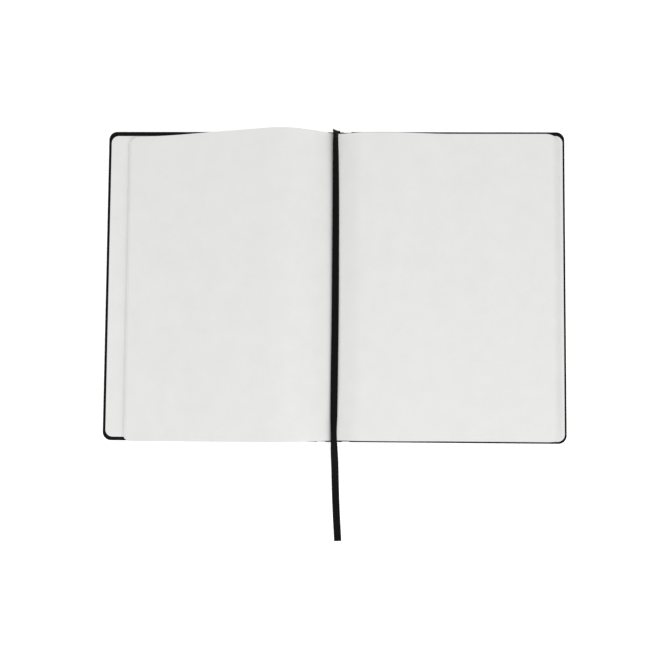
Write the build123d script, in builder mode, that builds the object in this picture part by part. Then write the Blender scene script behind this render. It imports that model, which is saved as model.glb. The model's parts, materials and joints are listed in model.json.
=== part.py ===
"""An A4 hardbound sketchbook, lying open on a table near its front.

Frame: X to the right, Y towards the head, Z up. The origin is on the table, under the middle of the
spine. The front cover lies to the left, the back cover to the right. Every hinge turns about Y, and a
positive turn lifts the left side and carries it over to the right.
"""

import os
from math import cos, radians, sin, tan

from build123d import *

# Leaves and sections
leaf_width = 210.0
leaf_height = 297.0
leaf_thickness = 0.16
leaf_shift = -1.0
leaves_per_section = 8
section_thickness = leaves_per_section * leaf_thickness
half_section_thickness = section_thickness / 2
open_half_thickness = half_section_thickness - leaf_thickness
paper_gap = 0.02

# Case
board_thickness = 2.4
spine_board_thickness = 1.5
spine_lining_thickness = 0.15
cloth_thickness = 0.3
pastedown_thickness = 0.15
cover_height = 303.0
hinge_to_fore_edge = 214.5
joint_width = 7.0
cover_corner_radius = 8.0
leaf_corner_radius = 7.0
turn_in_width = 14.0
pastedown_fore_margin = 2.8
pastedown_end_margin = 4.0
pastedown_shift = -0.5
lining_end_margin = 10.0
cover_thickness = 2 * cloth_thickness + board_thickness + pastedown_thickness
cover_inner_face = cover_thickness - pastedown_thickness

# The right stack, from the back cover up: (name, thickness)
right_stack = [("back_flyleaf", leaf_thickness)]
right_stack += [(f"section_{number}", section_thickness) for number in (8, 7, 6, 5, 4)]
right_stack += [("section_3_right", open_half_thickness)]
right_stack += [("turning_leaf", leaf_thickness)]
right_stack_bottom = {}
level = cover_thickness
for name, thickness in right_stack:
    right_stack_bottom[name] = level + paper_gap
    level += paper_gap + thickness
right_stack_top = level

# The left stack, from the front cover up: (name, thickness)
left_gap = 0.04
left_stack = [
    ("front_flyleaf", leaf_thickness),
    ("section_1", section_thickness),
    ("section_2", section_thickness),
    ("section_3_left", half_section_thickness),
]
left_stack_offset = {}
level = 0.0
for name, thickness in left_stack:
    left_stack_offset[name] = level
    level += thickness + left_gap
left_stack_thickness = level - left_gap

# Spine and hinges: the closed book is full, with a little play under the front cover
hinge_height = cloth_thickness / 2
cover_play = 1.2
closed_flyleaf_face = right_stack_top + left_gap + left_stack_thickness
closed_front_face = closed_flyleaf_face + cover_play
hinge_x = (closed_front_face + cover_thickness - 2 * hinge_height) / 2
hinge_clearance = 0.05
spine_board_margin = 0.95
spine_inner_face = cloth_thickness + spine_board_thickness + spine_lining_thickness
closed_spine_gap = 0.6
closed_fold_x = hinge_x + spine_inner_face - hinge_height + closed_spine_gap

# The open right stack leans: its top leaves are drawn in towards the gutter
top_leaf_draw = 9.25
bottom_section_draw = 2.4

# The open left stack arches: a rise out of the gutter, a fall from the crest, and an easy slope to the
# fore-edge
rise_angle = 23.3
fall_angle = 12.2
ease_angle = 5.72
crest_turn = rise_angle + fall_angle
ease_turn = fall_angle - ease_angle
rise_length = 62.0
fall_length = 116.0
left_fore_edge_x = -203.12
left_fore_edge_lift = 0.12
fold_shear = 0.6
crest_gap = 0.03

# The leaf that turns: it stands higher than the stack that it lands on
leaf_turn = 139.0
leaf_bend = 55.0
leaf_bend_from_fold = 52.0
leaf_bend_gap = 0.05

# Ribbon marker, as a list of (y, z) along its middle, from the head to its cut end
ribbon_width = 7.0
ribbon_thickness = 0.4
ribbon_x = 0.5
ribbon_route = [
    (147.0, 12.6),
    (90.0, 12.5),
    (30.0, 12.55),
    (-30.0, 12.5),
    (-85.0, 12.6),
    (-122.0, 12.5),
    (-148.5, 12.7),
    (-163.0, 7.2),
    (-175.0, 2.0),
    (-191.0, 0.5),
    (-216.0, 0.32),
    (-246.0, 0.3),
]

# Sewing thread, in the fold of the open section
thread_diameter = 0.5
stitch_length = 34.0
stitch_pitch = 50.0
stitch_count = 5
stitch_gap = 0.05
stitch_lift = 0.1


def polar(angle, length):
    """The step of a given length at an angle, in degrees, above the +X direction."""
    return Vector(length * cos(radians(angle)), 0, length * sin(radians(angle)))


def turning_centre(start, finish, angle):
    """The point about which a clockwise turn by angle, seen from the tail, carries start to finish."""
    middle = (start + finish) / 2
    half = (finish - start) / 2
    factor = 1 / tan(radians(angle) / 2)
    return Vector(middle.X + factor * half.Z, 0, middle.Z - factor * half.X)


def save(part, name):
    """Label a finished piece and write it."""
    part.label = name
    export_step(part, f"parts/{name}.step")


def draw_in(height):
    """How far a leaf at a height in the right stack is drawn in towards the gutter."""
    low = right_stack_bottom["section_8"]
    share = (height - low) / (right_stack_top - low)
    return bottom_section_draw + share * (top_leaf_draw - bottom_section_draw)


def cover(side, name):
    """One cover of the case, side 1 for the back and -1 for the front: cloth, board and pastedown."""
    outer_x = hinge_x + hinge_to_fore_edge
    board_start = hinge_x + joint_width
    cloth_start = hinge_x + hinge_height + hinge_clearance
    board_height = cover_height - 2 * cloth_thickness
    board_end = outer_x - cloth_thickness
    board_radius = cover_corner_radius - cloth_thickness

    def plate(start, end, height, z, radius, shift=0):
        """A sketch of a plate from start to end in X, with its fore-edge corners rounded."""
        with BuildSketch(Plane.XY.offset(z)) as sketch:
            with Locations((side * (start + end) / 2, shift)):
                Rectangle(end - start, height)
            if radius:
                corners = sketch.vertices().group_by(Axis.X)[-1 if side > 0 else 0]
                fillet(corners, radius)
        return sketch.sketch

    with BuildPart() as cloth:
        extrude(plate(cloth_start, outer_x, cover_height, 0, cover_corner_radius), cloth_thickness)
        extrude(plate(board_start, outer_x, cover_height, 0, cover_corner_radius), cover_inner_face)
        extrude(
            plate(board_start, board_end, board_height, cloth_thickness, board_radius),
            board_thickness,
            mode=Mode.SUBTRACT,
        )
        window_end = outer_x - turn_in_width
        window_height = cover_height - 2 * turn_in_width
        extrude(
            plate(board_start, window_end, window_height, cloth_thickness, 0),
            cover_inner_face,
            mode=Mode.SUBTRACT,
        )
    save(cloth.part, f"{name}_cover_cloth")

    with BuildPart() as board:
        extrude(plate(board_start, board_end, board_height, cloth_thickness, board_radius), board_thickness)
    save(board.part, f"{name}_board")

    with BuildPart() as pastedown:
        sheet_end = outer_x - pastedown_fore_margin
        sheet_height = cover_height - 2 * pastedown_end_margin
        sheet = plate(
            closed_fold_x, sheet_end, sheet_height, cover_inner_face, leaf_corner_radius, pastedown_shift
        )
        extrude(sheet, pastedown_thickness)
        filler_z = cover_inner_face - cloth_thickness
        extrude(plate(board_start, window_end, window_height, filler_z, 0), cloth_thickness)
    save(pastedown.part, f"{name}_pastedown")


def leaves(name, fold, angle, length, thickness, rounded):
    """A flat stack of leaves from its fold corner, lying at an angle, as thick as given above that line."""
    along = polar(angle, 1)
    lift = Vector(-along.Z, 0, along.X) if along.X > 0 else Vector(along.Z, 0, -along.X)
    middle = fold + along * (length / 2) + Vector(0, leaf_shift, 0)
    with BuildPart() as stack:
        with BuildSketch(Plane(origin=middle, x_dir=along, z_dir=lift)) as outline:
            Rectangle(length, leaf_height)
            if rounded:
                fillet(outline.vertices().group_by(Axis.X)[-1], leaf_corner_radius)
        extrude(amount=thickness)
    save(stack.part, name)


os.makedirs("parts", exist_ok=True)

# The case
cover(1, "back")
cover(-1, "front")

with BuildPart() as spine_cloth:
    with BuildSketch(Plane.XZ) as strip:
        with Locations((0, hinge_height)):
            SlotCenterToCenter(2 * hinge_x, cloth_thickness)
    extrude(amount=cover_height / 2, both=True)
save(spine_cloth.part, "spine_cloth")

spine_board_width = 2 * (hinge_x - spine_board_margin)
with BuildPart() as spine_board:
    with BuildSketch(Plane.XY.offset(cloth_thickness)):
        Rectangle(spine_board_width, cover_height - 2 * cloth_thickness)
    extrude(amount=spine_board_thickness)
save(spine_board.part, "spine_board")

with BuildPart() as spine_lining:
    with BuildSketch(Plane.XY.offset(cloth_thickness + spine_board_thickness)):
        Rectangle(spine_board_width, leaf_height - 2 * lining_end_margin)
    extrude(amount=spine_lining_thickness)
save(spine_lining.part, "spine_lining")

# The right stack: each section lies flat, drawn in as its height asks
right_folds = {}
for name, thickness in right_stack:
    bottom = right_stack_bottom[name]
    drawn = 0 if name == "back_flyleaf" else draw_in(bottom + thickness / 2)
    right_folds[name] = Vector(closed_fold_x - drawn, 0, bottom)
    if name != "turning_leaf":
        leaves(name, right_folds[name], 0, leaf_width, thickness, True)

leaf_fold = Vector(closed_fold_x - draw_in(right_stack_top), 0, right_stack_bottom["turning_leaf"])
leaves("turning_leaf_gutter", leaf_fold, 0, leaf_bend_from_fold - leaf_bend_gap, leaf_thickness, False)
leaf_hinge = leaf_fold + Vector(leaf_bend_from_fold, 0, leaf_thickness)
leaf_outer = leaf_fold + Vector(leaf_bend_from_fold, 0, 0)
leaves("turning_leaf", leaf_outer, 0, leaf_width - leaf_bend_from_fold, leaf_thickness, True)

# The left stack: each section rises from its fold, bends down at the crest and eases near its end
rise = polar(180 - rise_angle, 1)
fall = polar(180 + fall_angle, 1)
ease = polar(180 + ease_angle, 1)
rise_lift = Vector(rise.Z, 0, -rise.X)
fall_lift = Vector(fall.Z, 0, -fall.X)
ease_lift = Vector(ease.Z, 0, -ease.X)
crest_mitre = tan(radians(crest_turn / 2))
ease_mitre = tan(radians(ease_turn / 2))
first_corner = Vector(left_fore_edge_x, 0, cover_thickness + left_fore_edge_lift)
first_ease = first_corner - ease * (leaf_width - rise_length - fall_length)
first_crest = first_ease - fall * fall_length
first_fold = first_crest - rise * rise_length
left_folds = {}
left_crests = {}
left_eases = {}
left_lengths = {}
fold_turn = {}
for name, thickness in left_stack:
    offset = left_stack_offset[name]
    fold = first_fold + rise_lift * offset - rise * (fold_shear * offset)
    gutter_length = rise_length + offset * (crest_mitre + fold_shear)
    crest = fold + rise * gutter_length
    arch_length = fall_length + offset * crest_mitre - (offset + thickness) * ease_mitre
    ease_pivot = crest + fall * arch_length + fall_lift * thickness
    outer_length = leaf_width - gutter_length - arch_length
    left_folds[name] = fold
    left_crests[name] = crest
    left_eases[name] = ease_pivot
    left_lengths[name] = (gutter_length, arch_length, outer_length)
    closed_corner = Vector(closed_fold_x, 0, closed_flyleaf_face - offset)
    fold_turn[name] = turning_centre(fold, closed_corner, 180 - rise_angle)
    leaves(f"{name}_gutter", fold, 180 - rise_angle, gutter_length - crest_gap, thickness, False)
    leaves(f"{name}_arch", crest, 180 + fall_angle, arch_length - crest_gap, thickness, False)
    outer_start = ease_pivot - ease_lift * thickness
    leaves(name, outer_start, 180 + ease_angle, outer_length, thickness, True)

# Long stitches in the fold of the open section
with BuildPart() as sewing_thread:
    stitch_x = right_folds["section_3_right"].X - thread_diameter / 2 - stitch_gap
    stitch_z = right_stack_bottom["section_3_right"] + stitch_lift
    with BuildSketch(Plane.XZ.offset(-stitch_length / 2)):
        with Locations((stitch_x, stitch_z)):
            Circle(thread_diameter / 2)
    extrude(amount=stitch_length)
    stitch = sewing_thread.part
    with Locations([(0, stitch_pitch * (n - (stitch_count - 1) / 2), 0) for n in range(stitch_count)]):
        add(stitch, mode=Mode.REPLACE)
save(sewing_thread.part, "sewing_thread")

# The ribbon marker: a flat band along the gutter, over the tail edge and out on the table
corners = [Vector(y, z) for y, z in ribbon_route]
radii = []
for before, corner, after in zip(corners, corners[1:], corners[2:]):
    turn = radians((corner - before).get_angle(after - corner))
    shorter = min((corner - before).length, (after - corner).length)
    radii.append(0.45 * shorter / tan(turn / 2))
with BuildPart() as ribbon:
    with BuildSketch(Plane.YZ.offset(ribbon_x - ribbon_width / 2)):
        with BuildLine():
            FilletPolyline(*ribbon_route, radius=radii)
        trace(line_width=ribbon_thickness)
    extrude(amount=ribbon_width)
save(ribbon.part, "ribbon_marker")

print("hinge x", round(hinge_x, 3), "closed fold x", round(closed_fold_x, 3))
print("right stack top", round(right_stack_top, 3), "closed front face", round(closed_front_face, 3))
print("ribbon radii", [round(radius, 1) for radius in radii])
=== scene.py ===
# %% [markdown]
# # An open A4 sketchbook
#
# The book lies open near its front: a black cloth case, eight sewn sections of white leaves and a black
# ribbon marker. The solid model is loaded first as a fixed frame, and each cell then makes one visible
# piece around it, in metres, with X to the right, Y towards the head and Z up. Every leaf is a surface
# of its own, because the stacked paper edges are what make a book look like one.

# %% Load the frame
import json

import bpy
import numpy as np
from mathutils import Euler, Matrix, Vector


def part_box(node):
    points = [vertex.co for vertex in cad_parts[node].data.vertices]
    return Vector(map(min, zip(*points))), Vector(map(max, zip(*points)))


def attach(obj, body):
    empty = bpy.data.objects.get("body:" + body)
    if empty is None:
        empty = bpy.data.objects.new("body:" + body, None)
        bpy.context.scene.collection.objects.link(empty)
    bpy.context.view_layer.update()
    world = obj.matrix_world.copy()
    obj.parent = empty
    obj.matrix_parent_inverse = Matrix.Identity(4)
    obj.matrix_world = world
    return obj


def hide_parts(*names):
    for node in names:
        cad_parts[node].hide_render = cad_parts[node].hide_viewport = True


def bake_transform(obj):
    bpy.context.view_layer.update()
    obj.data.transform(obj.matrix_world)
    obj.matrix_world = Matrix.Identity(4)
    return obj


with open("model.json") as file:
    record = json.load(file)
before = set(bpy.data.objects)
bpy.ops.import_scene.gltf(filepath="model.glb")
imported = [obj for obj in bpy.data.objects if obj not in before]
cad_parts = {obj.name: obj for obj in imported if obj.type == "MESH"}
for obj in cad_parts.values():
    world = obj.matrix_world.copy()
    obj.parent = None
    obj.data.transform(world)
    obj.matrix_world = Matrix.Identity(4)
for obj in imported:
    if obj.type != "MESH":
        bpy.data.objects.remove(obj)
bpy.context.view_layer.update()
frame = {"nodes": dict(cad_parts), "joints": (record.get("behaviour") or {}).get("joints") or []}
MM = 0.001

# %% [markdown]
# ## Sizes that the frame gives
#
# The section at the bottom of the right stack gives the leaf's width and height, and its thickness
# divided by its eight leaves gives the paper's. The covers and the spine give their own boxes.

# %% Read the sizes
section_low, section_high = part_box("section_8")
LEAF_WIDTH = section_high.x - section_low.x
LEAF_HEIGHT = section_high.y - section_low.y
LEAF_MIDDLE = (section_high.y + section_low.y) / 2
LEAVES_PER_SECTION = 8
LEAF_PITCH = (section_high.z - section_low.z) / LEAVES_PER_SECTION
LEAF_THICKNESS = 0.8 * LEAF_PITCH
CORNER_RADIUS = 7 * MM
COVER_LOW, COVER_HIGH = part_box("back_cover_cloth")
BOARD_LOW, BOARD_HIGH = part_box("back_board")
SPINE_LOW, SPINE_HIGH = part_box("spine_board")
COVER_FACE = COVER_HIGH.z
COVER_CORNER = 8 * MM
print(f"leaf {LEAF_WIDTH / MM:.1f} x {LEAF_HEIGHT / MM:.1f} mm, {LEAF_PITCH / MM:.2f} mm thick")

# %% [markdown]
# ## Camera
#
# The view is from nearly straight above, a little towards the tail, from 0.85 m away: close enough for
# the raised left leaves to look larger than the cover under them.

# %% Place the camera
CAMERA_PLACE = (18.6 * MM, -97.9 * MM, 850 * MM)
CAMERA_TURN = [np.radians(angle) for angle in (3.35, 1.2, 0.34)]
CAMERA_LENS = 47.07

camera_data = bpy.data.cameras.new("camera")
camera_data.lens = CAMERA_LENS
camera_data.sensor_width = 36
camera = bpy.data.objects.new("camera", camera_data)
camera.rotation_mode = "ZYX"
camera.rotation_euler = Euler(CAMERA_TURN, "ZYX")
camera.location = CAMERA_PLACE
bpy.context.scene.collection.objects.link(camera)
bpy.context.scene.camera = camera

# %% [markdown]
# ## From arrays to meshes
#
# A leaf, a pastedown and a strip of cloth are all thin sheets, so one function gives any grid of points
# a thickness: it moves the grid half the thickness each way along its normals and closes the rim.


# %% Mesh helpers
def smoothstep(value, start, finish):
    """0 before start and 1 after finish, with an even S-shaped rise between them."""
    share = np.clip((value - start) / (finish - start), 0, 1)
    return share * share * (3 - 2 * share)


def add_mesh(name, points, faces, uv=None, sharp_angle=35):
    """An object at the origin from an array of points and a list or array of faces."""
    mesh = bpy.data.meshes.new(name)
    mesh.from_pydata(points.tolist(), [], faces)
    if uv is not None:
        corners = np.zeros(len(mesh.loops), np.int32)
        mesh.loops.foreach_get("vertex_index", corners)
        mesh.uv_layers.new(name="UVMap").data.foreach_set("uv", uv[corners].ravel())
    mesh.polygons.foreach_set("use_smooth", np.ones(len(mesh.polygons), bool))
    mesh.set_sharp_from_angle(angle=np.radians(sharp_angle))
    mesh.update()
    piece = bpy.data.objects.new(name, mesh)
    bpy.context.scene.collection.objects.link(piece)
    return piece


def grid_faces(rows, columns, start=0):
    """Quads of a grid whose points are numbered row by row, wound so that row x column faces up."""
    first = start + np.arange(rows - 1)[:, None] * columns + np.arange(columns - 1)[None, :]
    return np.stack([first, first + columns, first + columns + 1, first + 1], -1).reshape(-1, 4)


def sheet_arrays(middle, thickness):
    """Points and faces of a closed sheet around a grid of middle points.

    The normal is the cross product of the grid's two directions. Both sides lie half the thickness
    from the middle along it, and quads around the rim join them."""
    rows, columns = middle.shape[:2]
    along = np.gradient(middle, axis=0)
    across = np.gradient(middle, axis=1)
    normal = np.cross(along, across)
    normal /= np.linalg.norm(normal, axis=-1, keepdims=True)
    top = middle + normal * thickness / 2
    bottom = middle - normal * thickness / 2
    points = np.concatenate([top.reshape(-1, 3), bottom.reshape(-1, 3)])
    count = rows * columns
    upper = grid_faces(rows, columns)
    lower = grid_faces(rows, columns, count)[:, ::-1]
    index = np.arange(count).reshape(rows, columns)
    rim = np.concatenate([index[:-1, 0], index[-1, :-1], index[:0:-1, -1], index[0, :0:-1]])
    following = np.roll(rim, -1)
    walls = np.stack([rim, rim + count, following + count, following], -1)
    return points, np.concatenate([upper, lower, walls])


def join_arrays(parts):
    """Several (points, faces) as one."""
    points, faces, count = [], [], 0
    for some_points, some_faces in parts:
        points.append(some_points)
        faces.append(some_faces + count)
        count += len(some_points)
    return np.concatenate(points), np.concatenate(faces)


# %% [markdown]
# ## Materials
#
# Each material is named for what the real one is. Colours are sRGB hex values turned to linear by one
# function, and one small function adds a node with its settings and links.


# %% Colour and node helpers
def linear(hex_colour):
    """A #rrggbb colour as linear red, green, blue and full alpha."""
    values = np.array([int(hex_colour[i : i + 2], 16) for i in (1, 3, 5)]) / 255
    values = np.where(values <= 0.04045, values / 12.92, ((values + 0.055) / 1.055) ** 2.4)
    return (*values.tolist(), 1.0)


def add_node(material, kind, settings=None, **inputs):
    """A node of a material, with its settings and its inputs: a value, or another node's socket."""
    node = material.node_tree.nodes.new(kind)
    for name, value in (settings or {}).items():
        setattr(node, name, value)
    for name, value in inputs.items():
        socket = node.inputs[int(name[1:])] if name[1:].isdigit() else node.inputs[name.replace("_", " ")]
        if isinstance(value, bpy.types.NodeSocket):
            material.node_tree.links.new(value, socket)
        else:
            socket.default_value = value
    return node


def new_material(name):
    """An empty node material and its Principled shader, joined to the output."""
    material = bpy.data.materials.new(name)
    material.use_nodes = True
    material.node_tree.nodes.clear()
    shader = add_node(material, "ShaderNodeBsdfPrincipled")
    add_node(material, "ShaderNodeOutputMaterial", Surface=shader.outputs["BSDF"])
    return material, shader


def wire(material, shader, name, socket):
    """Link a socket to one of the shader's inputs."""
    material.node_tree.links.new(socket, shader.inputs[name])


def per_mm(size):
    """The texture scale that gives one feature for each size in millimetres."""
    return 1 / (size * MM)


# %% [markdown]
# ### Cartridge paper
#
# Drawing paper is formed wet on a felt, which leaves a soft tooth, and its fibres clump a little, which
# gives a faint cloudy look against the light. The real tooth is about 0.1 mm, too fine to show here, so
# it is drawn at 0.9 mm with a very low height.


# %% Paper
def make_paper(name, light, shade, tooth_height):
    """Uncoated paper: clouds 18 mm across, fibre flecks 1.4 mm long and a felt tooth."""
    material, shader = new_material(name)
    place = add_node(material, "ShaderNodeTexCoord").outputs["Object"]
    clouds = add_node(
        material, "ShaderNodeTexNoise", Vector=place, Scale=per_mm(18), Detail=3.0, Roughness=0.6
    )
    fibres = add_node(
        material, "ShaderNodeTexNoise", Vector=place, Scale=per_mm(1.4), Detail=4.0, Roughness=0.7
    )
    both = add_node(
        material,
        "ShaderNodeMix",
        {"data_type": "FLOAT"},
        Factor=0.45,
        _2=clouds.outputs["Fac"],
        _3=fibres.outputs["Fac"],
    )
    spread = add_node(
        material, "ShaderNodeMapRange", Value=both.outputs[0], From_Min=0.35, From_Max=0.65
    )
    colour = add_node(
        material,
        "ShaderNodeMix",
        {"data_type": "RGBA"},
        _0=spread.outputs[0],
        _6=linear(shade),
        _7=linear(light),
    )
    wire(material, shader, "Base Color", colour.outputs[2])
    tooth = add_node(
        material, "ShaderNodeTexNoise", Vector=place, Scale=per_mm(0.9), Detail=5.0, Roughness=0.65
    )
    bump = add_node(
        material,
        "ShaderNodeBump",
        Strength=0.35,
        Distance=tooth_height * MM,
        Height=tooth.outputs["Fac"],
    )
    wire(material, shader, "Normal", bump.outputs[0])
    shader.inputs["Roughness"].default_value = 0.88
    shader.inputs["IOR"].default_value = 1.47
    shader.inputs["Specular IOR Level"].default_value = 0.3
    return material


cartridge_paper = make_paper("cartridge_paper_felt_finish", "#dcdcdb", "#d8d8d7", 0.05)
endpaper_stock = make_paper("endpaper_smooth_wove", "#dededd", "#dadad9", 0.03)

# %% [markdown]
# ### Book cloth
#
# The case is covered in black book cloth: cotton with a filled, coated face that keeps a fine grain. It
# is nearly black with a soft wide highlight, and dust in the grain lifts it a little in places. The
# grain is drawn with cells 1.1 mm wide over a weave of 0.5 mm threads.


# %% Book cloth
def make_book_cloth():
    """Coated cotton: a cell grain, two crossed waves for the weave, and cloudy wear."""
    material, shader = new_material("book_cloth_coated_black")
    place = add_node(material, "ShaderNodeTexCoord").outputs["Object"]
    cells = add_node(
        material,
        "ShaderNodeTexVoronoi",
        {"feature": "SMOOTH_F1"},
        Vector=place,
        Scale=per_mm(1.1),
        Smoothness=0.6,
    )
    weave_heights = []
    for direction in ("X", "Y"):
        wave = add_node(
            material,
            "ShaderNodeTexWave",
            {"bands_direction": direction},
            Vector=place,
            Scale=per_mm(0.5) / (2 * np.pi),
            Distortion=1.5,
            Detail=2.0,
            Detail_Scale=2.0,
        )
        weave_heights.append(wave.outputs["Fac"])
    weave = add_node(
        material, "ShaderNodeMath", {"operation": "MAXIMUM"}, _0=weave_heights[0], _1=weave_heights[1]
    )
    height = add_node(
        material,
        "ShaderNodeMix",
        {"data_type": "FLOAT"},
        Factor=0.35,
        _2=cells.outputs["Distance"],
        _3=weave.outputs[0],
    )
    bump = add_node(
        material, "ShaderNodeBump", Strength=0.6, Distance=0.18 * MM, Height=height.outputs[0]
    )
    wire(material, shader, "Normal", bump.outputs[0])
    wear = add_node(
        material, "ShaderNodeTexNoise", Vector=place, Scale=per_mm(35), Detail=6.0, Roughness=0.65
    )
    spread = add_node(
        material, "ShaderNodeMapRange", Value=wear.outputs["Fac"], From_Min=0.3, From_Max=0.75
    )
    colour = add_node(
        material,
        "ShaderNodeMix",
        {"data_type": "RGBA"},
        _0=spread.outputs[0],
        _6=linear("#050506"),
        _7=linear("#0c0c0d"),
    )
    wire(material, shader, "Base Color", colour.outputs[2])
    rough = add_node(
        material, "ShaderNodeMapRange", Value=wear.outputs["Fac"], To_Min=0.5, To_Max=0.68
    )
    wire(material, shader, "Roughness", rough.outputs[0])
    shader.inputs["IOR"].default_value = 1.48
    shader.inputs["Specular IOR Level"].default_value = 0.1
    return material


book_cloth = make_book_cloth()

# %% [markdown]
# ### Ribbon, thread and board
#
# The marker is a woven rayon satin ribbon: its warp runs along it as fine ribs, and its two selvedges
# are denser. Its colour is painted lighter on the rib tops and darker in the hollows between them, as a
# painted sheen and painted shade. The thread is waxed linen, and the board is grey recycled fibre.


# %% Ribbon, thread and board
RIBBON_WIDTH = 7 * MM


def make_ribbon_weave():
    """Satin weave on the ribbon's own map, u across and v along in metres: warp ribs and weft picks."""
    material, shader = new_material("rayon_ribbon_satin_woven")
    place = add_node(material, "ShaderNodeUVMap", {"uv_map": "UVMap"}).outputs["UV"]
    warp = add_node(
        material,
        "ShaderNodeTexWave",
        {"bands_direction": "X"},
        Vector=place,
        Scale=per_mm(0.6) / (2 * np.pi),
        Distortion=0.4,
    )
    weft = add_node(
        material,
        "ShaderNodeTexWave",
        {"bands_direction": "Y"},
        Vector=place,
        Scale=per_mm(0.8) / (2 * np.pi),
        Distortion=0.8,
    )
    height = add_node(
        material,
        "ShaderNodeMix",
        {"data_type": "FLOAT"},
        Factor=0.35,
        _2=warp.outputs["Fac"],
        _3=weft.outputs["Fac"],
    )
    bump = add_node(
        material, "ShaderNodeBump", Strength=0.5, Distance=0.06 * MM, Height=height.outputs[0]
    )
    wire(material, shader, "Normal", bump.outputs[0])
    # Painted sheen and shade: the colour follows the weave's height, lighter on the rib tops and darker in
    # the hollows between them.
    colour = add_node(
        material,
        "ShaderNodeMix",
        {"data_type": "RGBA"},
        _0=height.outputs[0],
        _6=linear("#040405"),
        _7=linear("#0d0d0e"),
    )
    wire(material, shader, "Base Color", colour.outputs[2])
    shader.inputs["Roughness"].default_value = 0.45
    shader.inputs["Specular IOR Level"].default_value = 0.06
    shader.inputs["Sheen Weight"].default_value = 0.01
    shader.inputs["Sheen Roughness"].default_value = 0.4
    return material


def make_fibrous(name, low, high, size, roughness):
    """A matt fibrous stuff: flecks of two colours, size millimetres across, that also stand proud."""
    material, shader = new_material(name)
    place = add_node(material, "ShaderNodeTexCoord").outputs["Object"]
    flecks = add_node(
        material, "ShaderNodeTexNoise", Vector=place, Scale=per_mm(size), Detail=5.0, Roughness=0.7
    )
    colour = add_node(
        material,
        "ShaderNodeMix",
        {"data_type": "RGBA"},
        _0=flecks.outputs["Fac"],
        _6=linear(low),
        _7=linear(high),
    )
    wire(material, shader, "Base Color", colour.outputs[2])
    bump = add_node(
        material, "ShaderNodeBump", Strength=0.5, Distance=0.1 * MM, Height=flecks.outputs["Fac"]
    )
    wire(material, shader, "Normal", bump.outputs[0])
    shader.inputs["Roughness"].default_value = roughness
    return material


ribbon_weave = make_ribbon_weave()
linen_thread = make_fibrous("linen_thread_waxed", "#c9c5ba", "#e6e3da", 0.6, 0.7)
greyboard = make_fibrous("greyboard_pressed", "#8d857b", "#b3aca2", 1.5, 0.95)


# %% Dress a piece
def dress(piece, material):
    """Give a piece its material."""
    piece.data.materials.clear()
    piece.data.materials.append(material)
    return piece


def dress_node(name, material):
    """Give a solid that is carried over from the frame its material."""
    mesh = frame["nodes"][name].data
    mesh.materials.clear()
    mesh.materials.append(material)


for side in ("front_board", "back_board", "spine_board"):
    dress_node(side, greyboard)
dress_node("spine_lining", endpaper_stock)

# %% [markdown]
# ## The case
#
# Each cover is a board wrapped in cloth, so its edges are soft and its fore-edge corners round. A plate
# is made from rings: the outline of a rounded rectangle, carried up a profile that draws in at the
# bottom and the top like a quarter circle.


# %% Plates with soft edges
def rounded_outline(low, high, radii, inset, steps=12):
    """A ring around a rectangle, anticlockwise from its lower right corner, each corner an arc.

    The ring is drawn in by inset, and so are the arcs' radii."""
    corners = [(high[0], low[1], -90), (high[0], high[1], 0), (low[0], high[1], 90), (low[0], low[1], 180)]
    centre = (np.array(low) + np.array(high)) / 2
    ring = []
    for (x, y, start), radius in zip(corners, radii):
        inward = np.sign(centre - np.array([x, y]))
        middle = np.array([x, y]) + inward * radius
        angles = np.radians(np.linspace(start, start + 90, steps))
        arc = max(radius - inset, 0.02 * MM)
        ring.append(middle + arc * np.stack([np.cos(angles), np.sin(angles)], -1))
    return np.concatenate(ring)


def soft_plate(low, high, radii, edge, steps=5):
    """A closed plate: the outline carried up a profile with both edges rounded, and a flat face at
    each end."""
    turn = np.radians(np.linspace(0, 90, steps))
    draw_in = edge * (1 - np.sin(turn))
    lift = edge * (1 - np.cos(turn))
    insets = np.concatenate([draw_in, draw_in[::-1]])
    heights = np.concatenate([low[2] + lift, high[2] - lift[::-1]])
    rings = [
        np.column_stack([outline, np.full(len(outline), z)])
        for inset, z in zip(insets, heights)
        for outline in [rounded_outline(low[:2], high[:2], radii, inset)]
    ]
    size = len(rings[0])
    start = np.arange(len(rings) - 1)[:, None] * size
    here = np.arange(size)[None, :]
    there = (here + 1) % size
    walls = np.stack([start + here, start + there, start + size + there, start + size + here], -1)
    faces = walls.reshape(-1, 4).tolist()
    faces.append(list(range(size))[::-1])
    faces.append([(len(rings) - 1) * size + i for i in range(size)])
    return np.concatenate(rings), faces


EDGE_SOFTNESS = 0.9 * MM
JOINT_CLOTH_THICKNESS = 0.4 * MM
JOINT_CLOTH_HEIGHT = 1.25 * MM
TUCK = 1.0 * MM


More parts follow.
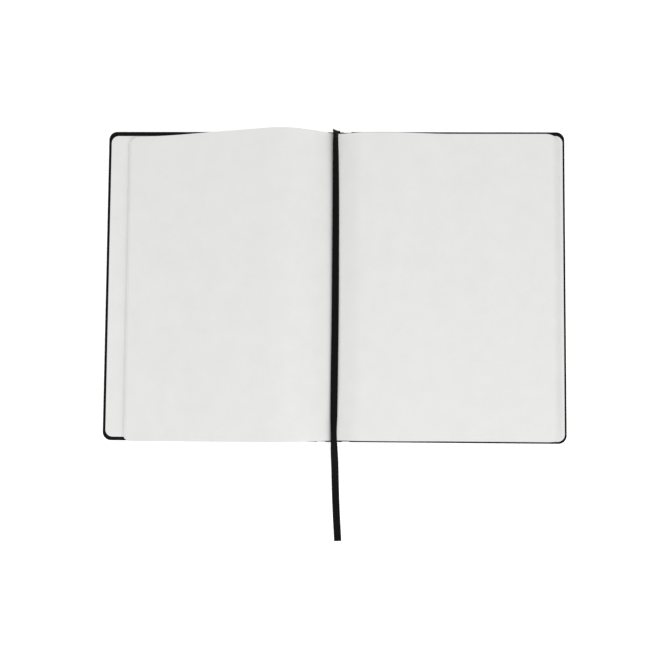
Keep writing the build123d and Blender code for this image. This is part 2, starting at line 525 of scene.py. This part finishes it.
def make_cover(name, side):
    """A wrapped board, and the strip of cloth that joins it to the spine across the joint."""
    near = BOARD_LOW.x - EDGE_SOFTNESS
    far = COVER_HIGH.x
    low = (min(side * near, side * far), COVER_LOW.y, 0)
    high = (max(side * near, side * far), COVER_HIGH.y, COVER_FACE)
    outer, inner = COVER_CORNER, 1.0 * MM
    radii = (outer, outer, inner, inner) if side > 0 else (inner, inner, outer, outer)
    cover = add_mesh(f"{name}_cover", *soft_plate(low, high, radii, EDGE_SOFTNESS))
    dress(cover, book_cloth)
    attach(cover, f"{name}_cover")
    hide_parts(f"{name}_cover_cloth")

    x = side * np.linspace(near + TUCK, SPINE_HIGH.x - TUCK, 24)
    y = np.linspace(COVER_LOW.y + 0.5 * MM, COVER_HIGH.y - 0.5 * MM, 24)
    grid_x, grid_y = np.meshgrid(x, y, indexing="ij")
    middle = np.stack([grid_x, grid_y, np.full_like(grid_x, JOINT_CLOTH_HEIGHT)], -1)
    if side < 0:
        middle = middle[::-1]
    points, faces = sheet_arrays(middle[::-1], JOINT_CLOTH_THICKNESS)
    joint = add_mesh(f"{name}_joint", points, faces.tolist())
    dress(joint, book_cloth)
    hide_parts(f"{name}_cover_cloth")
    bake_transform(joint)


make_cover("back", 1)
make_cover("front", -1)

SPINE_WRAP = 0.3 * MM
SPINE_COVER = 0.06 * MM
spine_low = (SPINE_LOW.x - SPINE_WRAP, COVER_LOW.y, 0)
spine_high = (SPINE_HIGH.x + SPINE_WRAP, COVER_HIGH.y, SPINE_HIGH.z + SPINE_COVER)
spine = add_mesh("spine", *soft_plate(spine_low, spine_high, [1.0 * MM] * 4, 0.5 * MM))
dress(spine, book_cloth)
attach(spine, "spine")
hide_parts("spine_cloth")

# %% [markdown]
# ## Leaves
#
# A leaf is a sheet whose middle line, seen from the tail, is a curve: arched on the left, and flat with
# a hump near the gutter on the right. The line is carried along the leaf's height, which shrinks by a
# quarter circle at the rounded fore-edge corners. A very small ripple along the height keeps a large
# white page from looking like a metal plate.

# %% Leaf surfaces
random = np.random.default_rng(7)
COLUMNS = np.concatenate(
    [
        np.linspace(0, 24 * MM, 25)[:-1],
        np.linspace(24 * MM, LEAF_WIDTH - CORNER_RADIUS, 56)[:-1],
        LEAF_WIDTH - CORNER_RADIUS * (1 - np.sin(np.radians(np.linspace(0, 90, 12)))),
    ]
)


def leaf_reach(along):
    """Half the leaf's height at each distance from the fold: a quarter circle at the rounded corner."""
    into = np.clip(along - (LEAF_WIDTH - CORNER_RADIUS), 0, CORNER_RADIUS)
    return LEAF_HEIGHT / 2 - (CORNER_RADIUS - np.sqrt(np.maximum(CORNER_RADIUS**2 - into**2, 0)))


def leaf_arrays(line, normal, rows, ripple=0.0, phase=0.0, skew=0.0):
    """The middle surface of a leaf from its line, in X and Z, and the line's normal.

    Each point is (x, share of the reach, z). The ripple moves it along the normal by a sum of two long
    waves that die out at the fold, and the skew moves it towards the tail in proportion to its
    distance from the fold."""
    share = np.linspace(-1, 1, rows)
    y = leaf_reach(COLUMNS)[:, None] * share[None, :]
    distance = COLUMNS[:, None] / LEAF_WIDTH
    wave = np.sin(2 * np.pi * (y / 0.19 + phase)) * 0.6 + np.sin(2 * np.pi * (y / 0.083 + 2 * phase)) * 0.4
    wave = wave * ripple * smoothstep(distance, 0.05, 0.6)
    middle = np.empty((len(COLUMNS), rows, 3))
    middle[..., 0] = line[:, None, 0] + normal[:, None, 0] * wave
    middle[..., 1] = LEAF_MIDDLE + y - skew * distance
    middle[..., 2] = line[:, None, 1] + normal[:, None, 1] * wave
    return middle


def leaf_solid(middle, faces_up):
    """Give a leaf its thickness, with the grid turned so that its normals point up."""
    return sheet_arrays(middle if faces_up else middle[:, ::-1], LEAF_THICKNESS)


# %% [markdown]
# ### The left stack's arch
#
# Sewn leaves rise out of the fold to a crest, come down and ease off where they rest on the cover. The
# frame makes each section from three flat slabs that turn about two hinges, and a real leaf bends
# between them. So each leaf starts flat, as it lies in the closed book, and is bent open by a smooth
# rule that turns it about each hinge by a share of that hinge's turn. A leaf is cut into two pieces, a
# gutter piece and an outer piece, and the cut lies a little way into the second bend.

# %% Arch of a left leaf
LEFT_ORDER = ("front_flyleaf", "section_1", "section_2", "section_3_left")
LEFT_LEAVES = {"front_flyleaf": 1, "section_1": 8, "section_2": 8, "section_3_left": 4}
LEFT_SKEW = 2.6 * MM
CREST_START, CREST_END = 3.3 * MM, -80.3 * MM
EASE_START, EASE_END = -115.4 * MM, -198.5 * MM
CUT = 56
SETTLING_STEPS = 40
LENGTH_SCATTER = 0.06 * MM
LEFT_RIPPLE, LEFT_RIPPLE_PHASE = 0.12 * MM, 0.3
TOP_ROWS, INNER_ROWS = 60, 14
joints = {joint["name"]: joint for joint in frame["joints"]}


def hinge_turn(name):
    """How far a hinge turns between the open book and the closed one, in radians."""
    return float(np.ptp(np.radians(joints[name]["range_deg"])))


def hinge_place(name):
    """A hinge's X and Z."""
    place = joints[name]["pos_m"]
    return np.array([place[0], place[2]])


def turned(points, pivot, angle):
    """Points in X and Z turned about a pivot, anticlockwise as X runs right and Z up."""
    cosine, sine = np.cos(angle), np.sin(angle)
    away = points - pivot
    return pivot + np.stack(
        [away[:, 0] * cosine - away[:, 1] * sine, away[:, 0] * sine + away[:, 1] * cosine], -1
    )


def share_between(x, start, end):
    """How far x has gone from start to end, smoothed as the frame's own bending is."""
    return smoothstep((start - x) / (start - end), 0, 1)


slab_low, slab_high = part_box("front_flyleaf_gutter")
crest_pivot = hinge_place("front_flyleaf_crest_hinge")
RISE = np.arctan2(crest_pivot[1] - slab_low.z, slab_high.x - crest_pivot[0])
CREST_TURN = hinge_turn("front_flyleaf_crest_hinge")
EASE_TURN = hinge_turn("front_flyleaf_ease_hinge")
print(f"rise {np.degrees(RISE):.1f}, crest {np.degrees(CREST_TURN):.1f}, ease {np.degrees(EASE_TURN):.1f}")


def arch_line(name, height, draw):
    """Middle line and normal of a leaf that lies height above its section's lower face.

    The straight leaf is turned about the crest's hinge by a share of that hinge's turn, and then back
    about the other hinge by a share of its turn. The shares depend on where the points end up, so the
    line is found in repeated steps, each of which moves it less than the one before."""
    low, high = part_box(f"{name}_gutter")
    along = np.array([-np.cos(RISE), np.sin(RISE)])
    up = np.array([np.sin(RISE), np.cos(RISE)])
    thickness = LEFT_LEAVES[name] * LEAF_PITCH
    fold = np.array([high.x - thickness * up[0], low.z])
    straight = fold + along * (COLUMNS + draw)[:, None] + up * height
    line = straight
    for _ in range(SETTLING_STEPS):
        crest_share = share_between(line[:, 0], CREST_START, CREST_END)
        ease_share = share_between(line[:, 0], EASE_START, EASE_END)
        bent = turned(straight, hinge_place(f"{name}_crest_hinge"), CREST_TURN * crest_share)
        bent = turned(bent, hinge_place(f"{name}_ease_hinge"), -EASE_TURN * ease_share)
        line = (line + bent) / 2
    run = np.gradient(line, axis=0)
    run /= np.linalg.norm(run, axis=1, keepdims=True)
    return line, np.stack([run[:, 1], -run[:, 0]], -1)


for name in LEFT_ORDER:
    inner, outer = [], []
    for number in range(LEFT_LEAVES[name]):
        scatter = random.normal(0, LENGTH_SCATTER / MM) * MM
        line, normal = arch_line(name, (number + 0.5) * LEAF_PITCH, scatter)
        is_top = name == "section_3_left" and number == LEFT_LEAVES[name] - 1
        rows = TOP_ROWS if is_top else INNER_ROWS
        middle = leaf_arrays(line, normal, rows, LEFT_RIPPLE, LEFT_RIPPLE_PHASE, LEFT_SKEW)
        inner.append(leaf_solid(middle[: CUT + 1], False))
        outer.append(leaf_solid(middle[CUT:], False))
    is_endpaper = name == "front_flyleaf"
    paper = endpaper_stock if is_endpaper else cartridge_paper
    for part, leaves in (("gutter", inner), ("outer", outer)):
        points, faces = join_arrays(leaves)
        piece = add_mesh(f"{name}_leaves_{part}", points, faces.tolist())
        dress(piece, paper)
        if part == "gutter":
            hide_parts(f"{name}_gutter", f"{name}_arch")
            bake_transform(piece)
        else:
            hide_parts(f"{name}_arch", name)
            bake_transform(piece)
print(f"top leaf cut at {line[CUT, 0] / MM:.1f} mm, crest at {line[:, 1].max() / MM:.1f} mm")
print(f"top leaf's fore-edge at {line[-1, 0] / MM:.1f} mm")

# %% [markdown]
# ### The right stack
#
# These leaves lie flat on the back cover. The top ones spring up in a low hump beside the gutter and dip
# into the fold, and both effects fade with every leaf below. Each leaf is drawn in towards the gutter a
# little more than the one under it.

# %% Right leaves
HUMP_HEIGHT = 4.6 * MM
HUMP_FADE = 5.0
DIP_DEPTH = 1.2 * MM
DIP_FADE = 6.0
DRAW_PER_LEAF = 0.1 * MM
RIGHT_ORDER = ("section_8", "section_7", "section_6", "section_5", "section_4", "section_3_right")
leaf_low, leaf_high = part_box("turning_leaf_gutter")


def right_line(fold_x, z, rank):
    """Middle line and normal of a right leaf: rank is how many leaves lie above it.

    Its height is z, plus a hump that rises over 24 mm and falls from 52 to 110 mm, less a dip that
    fades out of the fold."""
    hump = HUMP_HEIGHT * np.exp(-rank / HUMP_FADE)
    dip = DIP_DEPTH * np.exp(-rank / DIP_FADE)
    rise = smoothstep(COLUMNS, 2 * MM, 26 * MM) * (1 - smoothstep(COLUMNS, 52 * MM, 110 * MM))
    line_z = z + hump * rise - dip * np.exp(-COLUMNS / (3 * MM))
    run = np.gradient(line_z, COLUMNS)
    line_x = fold_x + np.concatenate([[0], np.cumsum(np.diff(COLUMNS) / np.sqrt(1 + run[1:] ** 2))])
    normal = np.stack([-run, np.ones_like(run)], -1) / np.sqrt(1 + run**2)[:, None]
    return np.stack([line_x, line_z], -1), normal


for order, name in enumerate(RIGHT_ORDER):
    low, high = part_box(name)
    count = round((high.z - low.z) / LEAF_PITCH)
    above = 1 + sum(3 if other == "section_3_right" else 8 for other in RIGHT_ORDER[order + 1 :])
    leaves = []
    for number in range(count):
        z = low.z + (number + 0.5) * LEAF_PITCH
        rank = above + count - 1 - number
        fold_x = low.x - (number - (count - 1) / 2) * DRAW_PER_LEAF + random.normal(0, 0.07) * MM
        line, normal = right_line(fold_x, z, rank)
        leaves.append(leaf_solid(leaf_arrays(line, normal, 14, 0.02 * MM, 0.1), True))
    points, faces = join_arrays(leaves)
    piece = add_mesh(f"{name}_leaves", points, faces.tolist())
    dress(piece, cartridge_paper)
    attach(piece, name)
    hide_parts(name)

line, normal = right_line(leaf_low.x, (leaf_low.z + leaf_high.z) / 2, 0)
middle = leaf_arrays(line, normal, 60, 0.1 * MM, 0.55)
points, faces = leaf_solid(middle, True)
turning_leaf = add_mesh("turning_leaf_sheet", points, faces.tolist())
dress(turning_leaf, cartridge_paper)
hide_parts("turning_leaf", "turning_leaf_gutter")
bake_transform(turning_leaf)

# %% [markdown]
# ### Endpapers
#
# A pastedown is glued over the turned-in cloth, so a faint step shows where the cloth under it ends. The
# back one is drawn 1.2 mm narrower than the solid model's at its fore-edge. The back flyleaf is one more
# leaf, flat on the back cover.

# %% Endpapers
TURN_IN = 14 * MM
BACK_PASTEDOWN_INSET = 1.2 * MM


def make_pastedown(name, side):
    """The glued endpaper: a sheet that sinks by a tenth of a millimetre inside the turned-in cloth."""
    low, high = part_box(f"{name}_pastedown")
    reach = leaf_reach(COLUMNS) * (high.y - low.y) / LEAF_HEIGHT
    y = (high.y + low.y) / 2 + reach[:, None] * np.linspace(-1, 1, 80)[None, :]
    along = COLUMNS * (high.x - low.x - (BACK_PASTEDOWN_INSET if side > 0 else 0)) / LEAF_WIDTH
    x = np.broadcast_to((min(abs(low.x), abs(high.x)) + along)[:, None], y.shape)
    edge = np.minimum(COVER_HIGH.x - x, COVER_HIGH.y - np.abs(y))
    sink = 0.12 * MM * smoothstep(edge, TURN_IN - 0.5 * MM, TURN_IN + 1.5 * MM)
    middle = np.stack([side * x, y, high.z - 0.06 * MM - sink], -1)
    points, faces = sheet_arrays(middle if side > 0 else middle[:, ::-1], 0.12 * MM)
    piece = add_mesh(f"{name}_pastedown_sheet", points, faces.tolist())
    dress(piece, endpaper_stock)
    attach(piece, f"{name}_cover")
    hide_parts(f"{name}_pastedown")


make_pastedown("back", 1)
make_pastedown("front", -1)

low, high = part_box("back_flyleaf")
flat = np.stack([low.x + COLUMNS, np.full_like(COLUMNS, (low.z + high.z) / 2)], -1)
up = np.stack([np.zeros_like(COLUMNS), np.ones_like(COLUMNS)], -1)
points, faces = leaf_solid(leaf_arrays(flat, up, 14), True)
flyleaf = add_mesh("back_flyleaf_sheet", points, faces.tolist())
dress(flyleaf, endpaper_stock)
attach(flyleaf, "back_cover")
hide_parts("back_flyleaf")

# %% [markdown]
# ## Sewing thread
#
# Long stitches of two-ply linen lie in the fold of the open section. The twist is modelled: around the
# thread, the radius swells twice and the swelling turns with the distance along it.

# %% Sewing thread
STITCH_COUNT = 5
STITCH_PITCH = 50 * MM
STITCH_LENGTH = 34 * MM
thread_low, thread_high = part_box("sewing_thread")
THREAD_PLACE = ((thread_low.x + thread_high.x) / 2, (thread_low.z + thread_high.z) / 2)
THREAD_RADIUS = 0.25 * MM
PLY_TWIST = 2.4 * MM


def stitch_arrays(middle_y):
    """One stitch: rings of radius r(1 + 0.18 cos 2(angle - twist)), dipping into the fold at its ends."""
    along = np.linspace(-0.5, 0.5, 90)
    around = np.radians(np.arange(0, 360, 36))
    y = middle_y + along * STITCH_LENGTH
    twist = 2 * np.pi * along * STITCH_LENGTH / PLY_TWIST
    radius = THREAD_RADIUS * (1 + 0.18 * np.cos(2 * (around[None, :] - twist[:, None])))
    sag = 0.9 * MM * smoothstep(np.abs(along), 0.44, 0.5)
    x = THREAD_PLACE[0] + radius * np.cos(around)[None, :]
    z = (THREAD_PLACE[1] - sag)[:, None] + radius * np.sin(around)[None, :]
    points = np.stack([x, np.broadcast_to(y[:, None], x.shape), z], -1).reshape(-1, 3)
    rows, size = len(along), len(around)
    start = np.arange(rows - 1)[:, None] * size
    here = np.arange(size)[None, :]
    there = (here + 1) % size
    walls = np.stack([start + here, start + size + here, start + size + there, start + there], -1)
    faces = walls.reshape(-1, 4).tolist()
    faces.append(list(range(size)))
    faces.append([(rows - 1) * size + i for i in range(size)][::-1])
    return points, faces


all_points, all_faces = [], []
for number in range(STITCH_COUNT):
    points, faces = stitch_arrays((number - (STITCH_COUNT - 1) / 2) * STITCH_PITCH)
    start = sum(len(some) for some in all_points)
    all_faces += [[start + i for i in face] for face in faces]
    all_points.append(points)
thread = add_mesh("sewing_thread_stitches", np.concatenate(all_points), all_faces, sharp_angle=60)
dress(thread, linen_thread)
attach(thread, "section_3_right")
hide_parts("sewing_thread")

# %% [markdown]
# ## Ribbon marker
#
# The ribbon comes up behind the fold at the head, lies along the gutter, bridges it from the steep left
# page to the right one, so it is tilted there, drops over the tail edge and runs out on the table to a
# square cut end. Its middle is a smooth NURBS line, and a flat section is carried along it.

# %% Ribbon marker
RIBBON_ROUTE = [
    (1.2, 138.0, 2.3),
    (1.2, 148.0, 2.3),
    (1.1, 151.4, 3.6),
    (0.9, 151.2, 11.0),
    (0.7, 148.6, 13.6),
    (0.6, 138.0, 13.3),
    (1.1, 90.0, 13.0),
    (1.2, 30.0, 13.0),
    (1.2, -30.0, 13.1),
    (0.7, -85.0, 13.3),
    (0.6, -122.0, 13.1),
    (0.6, -150.0, 12.9),
    (1.1, -163.0, 7.4),
    (1.6, -175.0, 2.2),
    (2.0, -191.0, 0.7),
    (2.9, -216.0, 0.35),
    (4.8, -246.0, 0.3),
]
RIBBON_THICKNESS = 0.28 * MM
TILT_AT = [(-176, 0), (-168, 6), (-158, 22), (-150, 33), (-142, 33), (-128, 18), (-99, 7), (-51, 9)]
TILT_AT += [(-2, 13), (46, 18), (85, 22), (123, 30), (139, 38), (150, 46)]


def nurbs_line(route, resolution=24):
    """Points along a NURBS line whose control points are the route, in metres."""
    curve = bpy.data.curves.new("route", "CURVE")
    curve.dimensions = "3D"
    curve.resolution_u = resolution
    spline = curve.splines.new("NURBS")
    spline.points.add(len(route) - 1)
    for point, place in zip(spline.points, route):
        point.co = (*(value * MM for value in place), 1)
    spline.use_endpoint_u = True
    spline.order_u = 3
    holder = bpy.data.objects.new("route", curve)
    bpy.context.scene.collection.objects.link(holder)
    mesh = bpy.data.meshes.new_from_object(holder)
    points = np.array([vertex.co[:] for vertex in mesh.vertices])
    bpy.data.objects.remove(holder)
    bpy.data.curves.remove(curve)
    bpy.data.meshes.remove(mesh)
    return points


def even_points(line, spacing):
    """The same line as points an even distance apart."""
    lengths = np.concatenate([[0], np.cumsum(np.linalg.norm(np.diff(line, axis=0), axis=1))])
    count = round(lengths[-1] / spacing) + 1
    at = np.linspace(0, lengths[-1], count)
    return np.stack([np.interp(at, lengths, line[:, i]) for i in range(3)], -1), at


route_points, route_at = even_points(nurbs_line(RIBBON_ROUTE), 1.5 * MM)
tangent = np.gradient(route_points, axis=0)
tangent /= np.linalg.norm(tangent, axis=1, keepdims=True)
on_block = route_points[:, 2] > 8 * MM
in_gutter = smoothstep(route_points[:, 1], -160 * MM, -135 * MM) * on_block
tilt_y, tilt_angle = np.array(TILT_AT).T
tilt = np.radians(np.interp(route_points[:, 1] / MM, tilt_y, tilt_angle))
tilt *= smoothstep(route_points[:, 2], 2 * MM, 12 * MM) * (route_points[:, 1] > 0) + (route_points[:, 1] <= 0)
lean = np.stack([np.cos(tilt), np.zeros_like(tilt), -np.sin(tilt)], -1)
across = lean - tangent * np.sum(lean * tangent, axis=1, keepdims=True)
across /= np.linalg.norm(across, axis=1, keepdims=True)
face_up = np.cross(across, tangent)
face_up *= np.sign(face_up[len(face_up) // 2, 2])
offsets = np.linspace(-0.5, 0.5, 9)
droop = 0.9 * MM * smoothstep(offsets, 0.05, 0.5)
middle = (
    route_points[:, None, :]
    + across[:, None, :] * offsets[None, :, None] * RIBBON_WIDTH
    - face_up[:, None, :] * droop[None, :, None] * in_gutter[:, None, None]
)
points, faces = sheet_arrays(middle[::-1], RIBBON_THICKNESS)
uv_u = np.broadcast_to(offsets[None, :] * RIBBON_WIDTH, middle.shape[:2])
uv_v = np.broadcast_to(route_at[::-1, None], middle.shape[:2])
uv = np.tile(np.stack([uv_u, uv_v], -1).reshape(-1, 2), (2, 1))
ribbon = add_mesh("ribbon", points, faces.tolist(), uv=uv, sharp_angle=50)
dress(ribbon, ribbon_weave)
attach(ribbon, "ribbon_marker")
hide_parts("ribbon_marker")
print(f"ribbon {route_at[-1] / MM:.0f} mm long")

# %% [markdown]
# ## Floor and light
#
# A white table under a plain white sky, with one large soft light from the right and the tail, so that
# the left page is a little darker towards the head and the ribbon's tail has a soft shadow on its left.

# %% Floor and light
material, shader = new_material("table_matt_white")
shader.inputs["Base Color"].default_value = linear("#ffffff")
shader.inputs["Roughness"].default_value = 0.9
shader.inputs["Specular IOR Level"].default_value = 0.1
shader.inputs["Emission Color"].default_value = linear("#ffffff")
shader.inputs["Emission Strength"].default_value = 0.35
half = 20.0
floor_points = np.array([[-half, -half, 0], [half, -half, 0], [half, half, 0], [-half, half, 0]])
floor = add_mesh("table_top", floor_points - [0, 0, 0.0002], [[0, 1, 2, 3]])
floor.data.materials.append(material)

world = bpy.data.worlds.new("white_sky")
world.use_nodes = True
world.node_tree.nodes["Background"].inputs["Color"].default_value = (1, 1, 1, 1)
world.node_tree.nodes["Background"].inputs["Strength"].default_value = 0.94
bpy.context.scene.world = world


def add_light(name, place, target, size, power):
    """A square area light at a place, turned towards a target."""
    data = bpy.data.lights.new(name, "AREA")
    data.size = size
    data.energy = power
    light = bpy.data.objects.new(name, data)
    bpy.context.scene.collection.objects.link(light)
    light.location = place
    way = np.array(target) - np.array(place)
    tilt = np.arctan2(np.hypot(way[0], way[1]), -way[2])
    heading = np.arctan2(way[0], -way[1]) + np.pi
    light.rotation_euler = Euler((tilt, 0, heading), "XYZ")
    return light


add_light("soft_window", (0.3, -1.0, 1.1), (0, 0, 0), 1.2, 7)

scene = bpy.context.scene
scene.view_settings.view_transform = "Standard"
scene.view_settings.look = "None"
